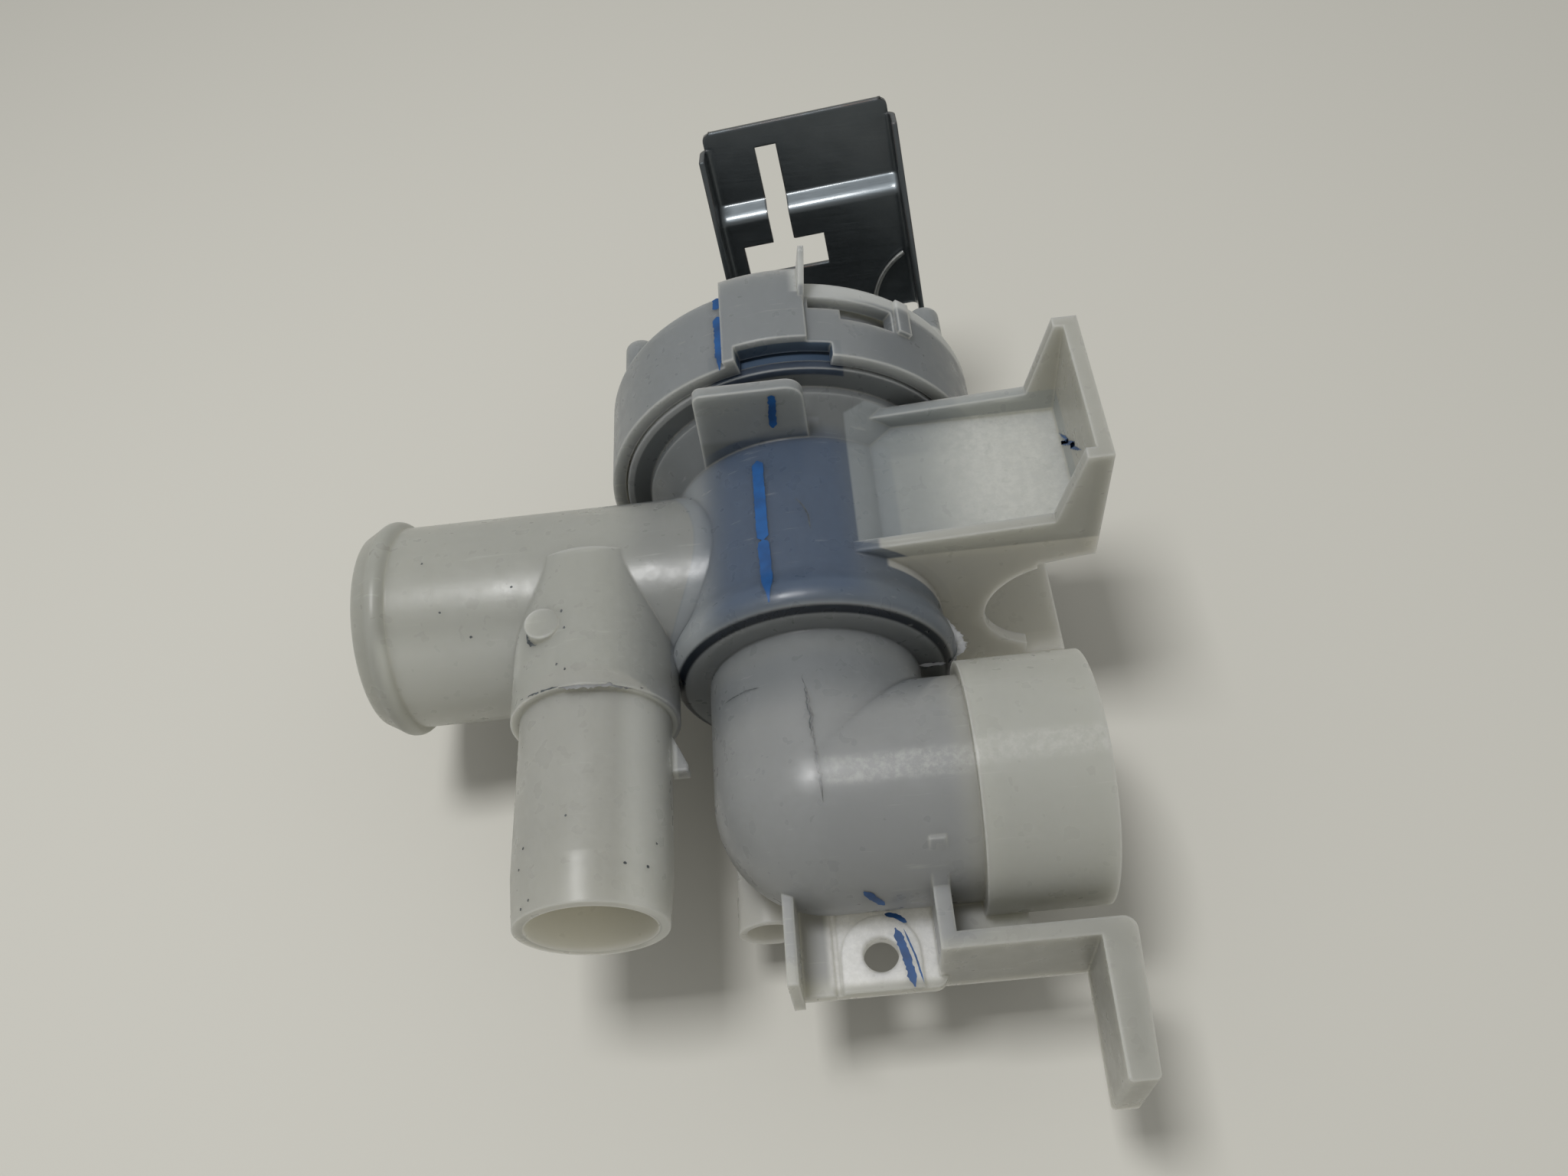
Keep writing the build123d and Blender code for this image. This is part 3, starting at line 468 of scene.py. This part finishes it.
# %% Plate coordinates and sizes
HINGE = np.array([CX, 57.0, 0.0])
LEAN = np.radians(5.6)
TILT_COSINE, TILT_SINE = 0.2656, 0.9641
SIDE = np.array([np.cos(LEAN), 0.0, np.sin(LEAN)])
RISE = TILT_COSINE * np.array([0.0, 1.0, 0.0]) + TILT_SINE * np.array([-np.sin(LEAN), 0.0, np.cos(LEAN)])
FRONT = np.cross(SIDE, RISE)

# Across (u)
PLATE_LEFT, PLATE_RIGHT, BEND = -7.2, 28.6, 1.7
STEM_LEFT, STEM_RIGHT, BAR_LEFT, BAR_RIGHT = 2.45, 6.45, -3.4, 12.3
# Up (v)
WEB_BOTTOM, FLANGE_TOP, PLATE_TOP = 5.0, 42.2, 45.2
SLOT_BOTTOM, BAR_TOP, STEM_TOP = 17.0, 23.2, 40.9
JOGGLE_ROWS = np.linspace(27.6, 31.6, 41)
LOW_BEND_AT, LOW_BEND, HIGH_BEND_AT, HIGH_BEND = 27.9, 1.6, 30.3, 0.9
# Forward (n)
WEB_DEPTH, HALF_SHEET, JOGGLE_SLOPE, FLANGE_TAPER = 3.5, 0.5, 1.5, 5.7
# Eyes, and the round corners of the web and the slot
EYE_RADIUS, EYE_BACK, PIN_HOLE = 4.6, 4.5, 2.05
CORNER_RADIUS, SLOT_CORNER, LEFT_INSET, RIGHT_INSET = 1.5, 0.45, 0.4, 0.7


def soft_ramp(t, width):
    """Ramp with a round start: t squared over twice the width up to the width, then t less half the width."""
    t = np.maximum(t, 0.0)
    return np.where(t < width, t * t / (2.0 * width), t - width / 2.0)


def from_plate(u, v, n):
    """Plate coordinates (across, up, forward) in millimetres to the part's frame."""
    return HINGE + u[..., None] * SIDE + v[..., None] * RISE + n[..., None] * FRONT


def web_depth(v):
    """Web's mid-surface at height v: a level less the joggle, which is one soft ramp less another."""
    joggle = JOGGLE_SLOPE * (soft_ramp(v - LOW_BEND_AT, LOW_BEND) - soft_ramp(v - HIGH_BEND_AT, HIGH_BEND))
    return -WEB_DEPTH - joggle - HALF_SHEET


rows_v = np.concatenate([
    np.linspace(WEB_BOTTOM, PLATE_TOP, 80), [SLOT_BOTTOM, BAR_TOP, STEM_TOP, FLANGE_TOP], JOGGLE_ROWS,
])
rows_v = np.unique(np.round(rows_v, 3))
print("joggle", round(float(np.ptp(web_depth(rows_v))), 2), "mm deep")

# %% Strip of the plate
def plate_strip(v):
    """Web, bends and flanges as one grid, and the cells of it that are metal.

    Across, the strip runs down the left flange, round a quarter bend, along the web and back up. The flanges'
    free edges run straight from the eyes to the top. A cell stays if it is on the web and outside the stem and
    the bar of the slot, or off the web and below the flanges' top. The two corners between stem and bar are
    eased by moving their points into the sheet."""
    stops = [BAR_LEFT, STEM_LEFT, STEM_RIGHT, BAR_RIGHT]
    web_u = np.unique(np.concatenate([np.linspace(PLATE_LEFT + BEND, PLATE_RIGHT - BEND, 46), stops]))
    turn = np.linspace(0.0, np.pi / 2, 9)[1:-1]
    fall = np.linspace(0.0, 1.0, 8)
    web_n = web_depth(v)
    free_n = EYE_RADIUS - FLANGE_TAPER * v / FLANGE_TOP
    flange_n = free_n[:, None] + (web_n + BEND - free_n)[:, None] * fall
    bend_n = (web_n + BEND)[:, None] - BEND * np.sin(turn)
    flat_n = web_n[:, None] * np.ones_like(web_u)
    n = np.concatenate([flange_n, bend_n, flat_n, bend_n[:, ::-1], flange_n[:, ::-1]], axis=1)
    u = np.concatenate([
        np.full(len(fall), PLATE_LEFT), PLATE_LEFT + BEND - BEND * np.cos(turn), web_u,
        (PLATE_RIGHT - BEND + BEND * np.cos(turn))[::-1], np.full(len(fall), PLATE_RIGHT),
    ]) * np.ones_like(n)
    v = v[:, None] * np.ones_like(n)

    mid_u, mid_v = (u[:-1, :-1] + u[1:, 1:]) / 2, (v[:-1, :-1] + v[1:, 1:]) / 2
    column = np.arange(n.shape[1] - 1)
    web_start = len(fall) + len(turn)
    on_web = (column >= web_start) & (column < web_start + len(web_u) - 1)
    stem = (mid_u > STEM_LEFT) & (mid_u < STEM_RIGHT) & (mid_v > SLOT_BOTTOM) & (mid_v < STEM_TOP)
    bar = (mid_u > BAR_LEFT) & (mid_u < BAR_RIGHT) & (mid_v > SLOT_BOTTOM) & (mid_v < BAR_TOP)
    keep = np.where(on_web, ~(stem | bar), mid_v < FLANGE_TOP)
    for corner, sign in ((STEM_LEFT, -1.0), (STEM_RIGHT, 1.0)):
        here = (np.abs(u - corner) < 1e-6) & (np.abs(v - BAR_TOP) < 1e-6)
        u, v = u + SLOT_CORNER * sign * here, v + SLOT_CORNER * here
    return from_plate(u, v, n), keep


strip, metal = plate_strip(rows_v)
print("strip of", metal.size, "cells,", int(metal.sum()), "of them metal")

# %% Corners and eyes of the plate
def plate_corner(v, edge, inner, sign):
    """Round corner of the web above a flange: the edge draws in as a quarter circle over the last 1.5 mm."""
    over = np.maximum(0.0, v - (PLATE_TOP - CORNER_RADIUS))
    inset = CORNER_RADIUS - np.sqrt(np.maximum(0.0, CORNER_RADIUS**2 - over**2))
    across = np.linspace(0.0, 1.0, 4)
    u = (edge + sign * inset)[:, None] * (1.0 - across) + inner * across
    return from_plate(u, v[:, None] * np.ones_like(u), web_depth(v)[:, None] * np.ones_like(u))


def plate_eye(side):
    """Eye of a flange: rings from the pin hole out to the nearest of a round end and three straight edges."""
    far, tiny = 99.0, 1e-6
    angle = np.linspace(0.0, 2 * np.pi, 73)
    up, out = np.cos(angle), np.sin(angle)
    lean = out + FLANGE_TAPER / FLANGE_TOP * up
    reach = np.where(up > tiny, WEB_BOTTOM / np.maximum(up, tiny), far)
    reach = np.minimum(reach, np.where(lean > tiny, EYE_RADIUS / np.maximum(lean, tiny), far))
    reach = np.minimum(reach, np.where(out < -tiny, EYE_BACK / np.maximum(-out, tiny), far))
    reach = np.where(up <= 0.0, EYE_RADIUS, reach)
    radius = PIN_HOLE + (reach - PIN_HOLE) * np.linspace(0.0, 1.0, 4)[:, None]
    return from_plate(np.full(radius.shape, side), radius * up, radius * out)


top_v = rows_v[rows_v >= FLANGE_TOP]
plate_grids = (
    (strip, metal, 1),
    (plate_corner(top_v, PLATE_LEFT + LEFT_INSET, PLATE_LEFT + BEND, 1.0), None, 1),
    (plate_corner(top_v, PLATE_RIGHT - RIGHT_INSET, PLATE_RIGHT - BEND, -1.0), None, -1),
    (plate_eye(PLATE_LEFT), None, -1),
    (plate_eye(PLATE_RIGHT), None, 1),
)
plate_cells, point_count = [], 0
for grid, keep, order in plate_grids:
    cells = quad_cells(*grid.shape[:2], point_count)
    cells = cells.reshape(-1, 4) if keep is None else cells[keep]
    plate_cells.append(cells[:, ::order])
    point_count += grid.shape[0] * grid.shape[1]
plate_points = np.concatenate([grid.reshape(-1, 3) for grid, *_ in plate_grids])
plate_cells = np.concatenate(plate_cells)
print("pressed plate", len(plate_points), "points,", len(plate_cells), "cells")

# %% The plate as sheet
plate = add_mesh("pressed_plate", plate_points, plate_cells, sheet_steel)
weld = plate.modifiers.new("weld", "WELD")
weld.merge_threshold = 0.00002
sheet = plate.modifiers.new("sheet", "SOLIDIFY")
sheet.thickness = 2.0 * HALF_SHEET / 1000.0
sheet.offset = 0.0
sheet.use_even_offset = True
sheared_edge = plate.modifiers.new("sheared_edge", "BEVEL")
sheared_edge.width = 0.00018
sheared_edge.segments = 2
sheared_edge.limit_method = "ANGLE"
sheared_edge.angle_limit = np.radians(50.0)
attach(plate, "plate")
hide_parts("pull_plate")
print("pressed plate stands in for the pull_plate solid")

# %% [markdown]
# ## Marker strokes and scratches
# The valve was ticked with a blue marker: short strokes across the cap, the
# tab and the chamber, a few by the screw pad, and a squiggle inside the arm.
# They could be painted in the finish, but a thin ribbon laid on the surface
# follows any path, keeps its crisp edge, and can be ragged where the felt
# skipped. The dark hairlines are ribbons too.

# %% Ribbons along paths
def plain_finish(name, dark, bright, rough, scale_mm):
    """Thin film: two tones mixed by noise of the given size."""
    material, tree, shader = new_finish(name)
    where = in_metres(tree)
    blotch = ranged(tree, noise(tree, where, 1000.0 / scale_mm, 3.0), 0.35, 0.65)
    tree.links.new(mix(tree, blotch, linear(dark), linear(bright)), shader.inputs["Base Color"])
    shader.inputs["Roughness"].default_value = rough
    return material


blue_ink = plain_finish("blue_marker_ink", "#073a6b", "#0b4f8c", 0.5, 4.0)
# Dark film for dirt, scratches and seams, and for the painted shade round the peg
dark_dirt_and_shade = plain_finish("ground_in_dirt_and_shade", "#33383c", "#555a5c", 0.7, 0.8)
noise_source = np.random.default_rng(7)
RIBBON_STEP = 0.35


def step(t):
    """Smooth step from 0 to 1 over t in 0..1: three t squared minus two t cubed."""
    t = np.clip(t, 0.0, 1.0)
    return t * t * (3.0 - 2.0 * t)


def ribbon(name, path, facing, width, finish, body, ragged=0.12, taper=(0.15, 0.15), lift=0.06):
    """Ribbon along a path of points, lying across the facing direction and lifted off the surface.

    The path is resampled evenly, the side is the tangent crossed with the facing, and the half width is the
    width's half times a rise and fall at the ends and a random ragged factor on each edge."""
    path = np.asarray(path, float)
    run = np.concatenate([[0.0], np.cumsum(np.linalg.norm(np.diff(path, axis=0), axis=1))])
    count = max(12, int(run[-1] / RIBBON_STEP))
    at = np.linspace(0.0, run[-1], count)
    facing = np.broadcast_to(facing, path.shape)
    line = np.stack([np.interp(at, run, path[:, k]) for k in range(3)], axis=1)
    facing = np.stack([np.interp(at, run, facing[:, k]) for k in range(3)], axis=1)
    facing = facing / np.linalg.norm(facing, axis=1, keepdims=True)
    side = np.cross(np.gradient(line, axis=0), facing)
    side = side / np.linalg.norm(side, axis=1, keepdims=True)
    t = at / run[-1]
    grow = step(t / max(taper[0], 1e-3)) * step((1.0 - t) / max(taper[1], 1e-3)) * 0.85 + 0.15
    rough = 1.0 + ragged * noise_source.standard_normal((count, 2))
    spread = 0.5 * width * grow[:, None] * np.clip(rough, 0.4, 1.6) * np.array([-1.0, 1.0])
    points = line[:, None, :] + spread[..., None] * side[:, None, :] + lift * facing[:, None, :]
    return grid_piece(name, points, finish, body)


def round_wall(x, y, radius, axis_x=CX, axis_z=0.0):
    """Points on a round wall about the Y direction: z is the height above the axis where x meets the radius."""
    x, y = np.asarray(x, float), np.asarray(y, float)
    z = axis_z + np.sqrt(radius**2 - (x - axis_x) ** 2)
    facing = np.stack([(x - axis_x) / radius, np.zeros_like(x), (z - axis_z) / radius], axis=1)
    return np.stack([x, y, z], axis=1), facing


print("ink, dirt and ribbons ready")

# %% Ink strokes and scratches
CHAMBER_RADIUS, NECK_RADIUS, CAP_RADIUS = 23.0, 17.8, 34.5
PAD_Z, ARM_END_X = -7.3, 115.6
UP = (0, 0, 1)


def bulge_radius(y):
    """Chamber's radius: it swells by 1.4 mm, as a smooth step over 5 mm from y = -11.6 down."""
    return CHAMBER_RADIUS + 1.4 * step((-11.6 - y) / 5.0)


def on_pad(*places):
    """Path on the screw pad from x and y."""
    return np.insert(np.array(places), 2, PAD_Z, axis=1)


stroke_y = np.linspace(11.3, -18.2, 40)
swell = bulge_radius(stroke_y) - 0.15 * np.maximum(0.0, -16.6 - stroke_y) ** 2
stroke_x = np.interp(stroke_y, [-18.2, -2.9, 11.3], [64.6, 64.2, 64.2])
line, facing = round_wall(stroke_x, stroke_y, swell)
ribbon("ink_chamber_upper", line[:23], facing[:23], 2.0, blue_ink, "housing", ragged=0.05, taper=(0.05, 0.04))
ribbon("ink_chamber_lower", line[22:], facing[22:], 2.0, blue_ink, "housing", ragged=0.05, taper=(0.04, 0.4))
line, facing = round_wall(np.full(20, 59.7), np.linspace(40.1, 22.8, 20), CAP_RADIUS)
ribbon("ink_cap_upper", line[:4], facing[:4], 1.5, blue_ink, "housing", taper=(0.05, 0.05))
ribbon("ink_cap_lower", line[5:], facing[5:], 1.5, blue_ink, "housing", taper=(0.05, 0.3))
line = [(68.0, 15.0, 33.9), (67.5, 15.0, 26.0)]
ribbon("ink_tab", line, (0, -1, 0), 1.25, blue_ink, "housing", taper=(0.05, 0.1))
line = on_pad((77.2, -58.3), (78.9, -58.7), (80.5, -59.95))
ribbon("ink_pad_arc", line, UP, 0.8, blue_ink, "housing")
line = on_pad((78.6, -60.6), (79.9, -65.3), (80.6, -69.9))
ribbon("ink_pad_blot", line, UP, 1.3, blue_ink, "housing")
line = on_pad((79.9, -60.9), (81.2, -65.2), (82.0, -69.4))
ribbon("ink_pad_line", line, UP, 0.28, blue_ink, "housing")
line = np.array([(74.4, -58.7, 4.7), (75.6, -59.1, 2.9), (77.25, -59.3, -0.3)])
ribbon("ink_elbow", line, line * (0, 1, 1) - (0, INLET_Y, 0), 1.3, blue_ink, "housing")
line = [(12.86, 18.99), (6.8, 23.98), (10.65, 18.96), (3.45, 27.3), (5.42, 24.15), (-0.33, 30.0)]
line = np.insert(np.array(line), 0, ARM_END_X, axis=1)
ribbon("ink_squiggle", line, (-1, 0, 0), 0.7, blue_ink, "housing", ragged=0.3)
line, facing = round_wall([70.02, 71.2, 71.9, 72.03], [1.97, 0.27, -1.78, -4.74], CHAMBER_RADIUS)
ribbon("scratch_chamber", line, facing, 0.22, dark_dirt_and_shade, "housing")
line, facing = round_wall([55.57, 57.22, 59.55, 61.74], [-27.97, -28.14, -28.27, -28.74], NECK_RADIUS)
ribbon("scratch_neck", line, facing, 0.2, dark_dirt_and_shade, "housing")
print("ink strokes and scratches laid")

# %% [markdown]
# ## Mould seam and flash
# Where the halves of a mould meet, a little melt is squeezed out and leaves a
# fine ridge or a thin fin, and dirt gathers along it. The seam down the elbow
# and the edge of the overflow's collar are ribbons on the wall, and so is the
# dark ring round the peg, which is painted shade at its foot. The crescent on
# the bulge stands free, so it is a grid of two rows with a ragged outer edge.

# %% Seam down the elbow
SEAM_POINTS = 60
seam_y = np.linspace(-26.0, -49.0, SEAM_POINTS)
seam_x = np.interp(seam_y, [-49.0, -46.0, -42.6, -35.0, -28.0], [69.7, 69.7, 69.3, 69.1, 68.5])
seam_x = seam_x + 0.12 * noise_source.standard_normal(SEAM_POINTS)
drop = np.maximum(0.0, INLET_Y - seam_y)
seam = np.stack([seam_x, seam_y, np.sqrt(NECK_RADIUS**2 - (seam_x - CX) ** 2 - drop**2)], axis=1)
seam_facing = np.stack([seam_x - CX, -drop, seam[:, 2]], axis=1)
ribbon("seam_line", seam[6:34], seam_facing[6:34], 0.14, dark_dirt_and_shade, "housing", ragged=0.4)
ribbon("seam_ridge", seam[12:] + (0.25, 0.0, 0.0), seam_facing[12:], 0.3, flash_pp, "housing", ragged=0.5)
print("seam laid over", round(float(np.ptp(seam_y)), 1), "mm")

# %% Flash on the bulge, the collar and the floor
ARC_POINTS = 40
COLLAR_RADIUS = 13.8
PEG_X, PEG_Y, PEG_RING = 27.65, -14.8, 3.1
arc_y = np.linspace(-11.0, -19.8, ARC_POINTS)
root = bulge_radius(arc_y) - np.maximum(0.0, -17.6 - arc_y) * 0.9
proud = 1.7 * np.sin(np.pi * np.clip((arc_y + 20.6) / 10.2, 0.0, 1.0))
proud = proud * (1.0 + 0.15 * noise_source.standard_normal(ARC_POINTS))
inner_edge = np.stack([CX + root - 0.3, arc_y, np.full(ARC_POINTS, 1.6)], axis=1)
outer_edge = np.stack([CX + root + proud, arc_y, np.full(ARC_POINTS, 2.2)], axis=1)
grid_piece("flash_crescent", np.stack([inner_edge, outer_edge], axis=1), flash_pp, "housing")

line, facing = round_wall([30.86, 34.25, 38.77, 43.41], [-27.1, -27.4, -27.1, -26.6], COLLAR_RADIUS, *OVERFLOW_AXIS)
ribbon("flash_collar", line, facing, 0.7, flash_pp, "housing", ragged=0.3)
line, facing = round_wall([23.76, 26.02, 28.55, 30.86], [-26.2, -26.6, -26.8, -26.8], COLLAR_RADIUS, *OVERFLOW_AXIS)
ribbon("dirt_collar", line, facing, 0.3, dark_dirt_and_shade, "housing", ragged=0.4)
# Dark ring round the peg: painted shade at its foot
ring = np.radians(np.linspace(70.0, 250.0, 24))
ring_x, ring_y = PEG_X + PEG_RING * np.cos(ring), PEG_Y + PEG_RING * np.sin(ring)
line, facing = round_wall(ring_x, ring_y, COLLAR_RADIUS, *OVERFLOW_AXIS)
ribbon("peg_ring_shade", line, facing, 0.6, dark_dirt_and_shade, "housing", ragged=0.3)
line = [(87.4, -20.45, 3.2), (91.9, -20.45, 3.1)]
ribbon("flash_floor", line, (0, -0.7, 0.7), 0.5, flash_pp, "housing", ragged=0.3)
print("flash added")

# %% [markdown]
# ## Flakes of dirt
# A few dark crumbs stick to the outlet and the overflow. Specks in the finish
# fall where the noise puts them; these have known places, so each is one small
# face with a random outline, laid flat on the wall.

# %% Flakes of dirt
FLAKE_CORNERS = 8


def flakes(name, places, facing, size, finish, body):
    """Small irregular flakes, one eight-cornered face each, on the plane across their facing.

    Corner distance is half the size times a random factor between 0.5 and 1.2."""
    facing = facing / np.linalg.norm(facing, axis=1, keepdims=True)
    along = np.cross(facing, (0.3, 1.0, 0.2))
    along = along / np.linalg.norm(along, axis=1, keepdims=True)
    turn = np.linspace(0.0, 2 * np.pi, FLAKE_CORNERS, endpoint=False)[:, None]
    reach = 0.5 * size * noise_source.uniform(0.5, 1.2, (len(places), FLAKE_CORNERS, 1))
    flat = np.cos(turn) * along[:, None, :] + np.sin(turn) * np.cross(facing, along)[:, None, :]
    corners = (places + 0.05 * facing)[:, None, :] + reach * flat
    faces = np.arange(len(places) * FLAKE_CORNERS).reshape(-1, FLAKE_CORNERS)
    piece = add_mesh(name, corners, faces, finish, smooth=False)
    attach(piece, body)


branch_spots = np.array([
    (32.47, -47.86), (40.8, -55.1), (43.6, -54.95), (44.66, -50.89), (25.51, -51.0), (24.81, -53.91), (22.75, -59.2),
    (25.4, -59.85), (26.82, -59.1), (30.42, -22.63), (31.83, -23.9), (31.44, -16.15), (30.79, -12.8),
])
branch_x, branch_y = branch_spots.T
branch_radius = np.where(branch_y > -27.0, COLLAR_RADIUS, np.interp(branch_y, [-60.9, -53.4], [11.7, 12.3]))
places, facing = round_wall(branch_x, branch_y, branch_radius, *OVERFLOW_AXIS)
flakes("dirt_branch", places, facing, 0.55, dark_dirt_and_shade, "housing")
outlet_spots = np.array([(9.38, -8.32, 15.96), (21.62, -5.52, 17.13), (6.2, 0.55, 17.99), (14.2, -12.1, 13.33)])
flakes("dirt_outlet", outlet_spots, outlet_spots * (0.0, 1.0, 1.0), 0.5, dark_dirt_and_shade, "housing")
print("dirt flakes laid:", len(branch_spots) + len(outlet_spots))
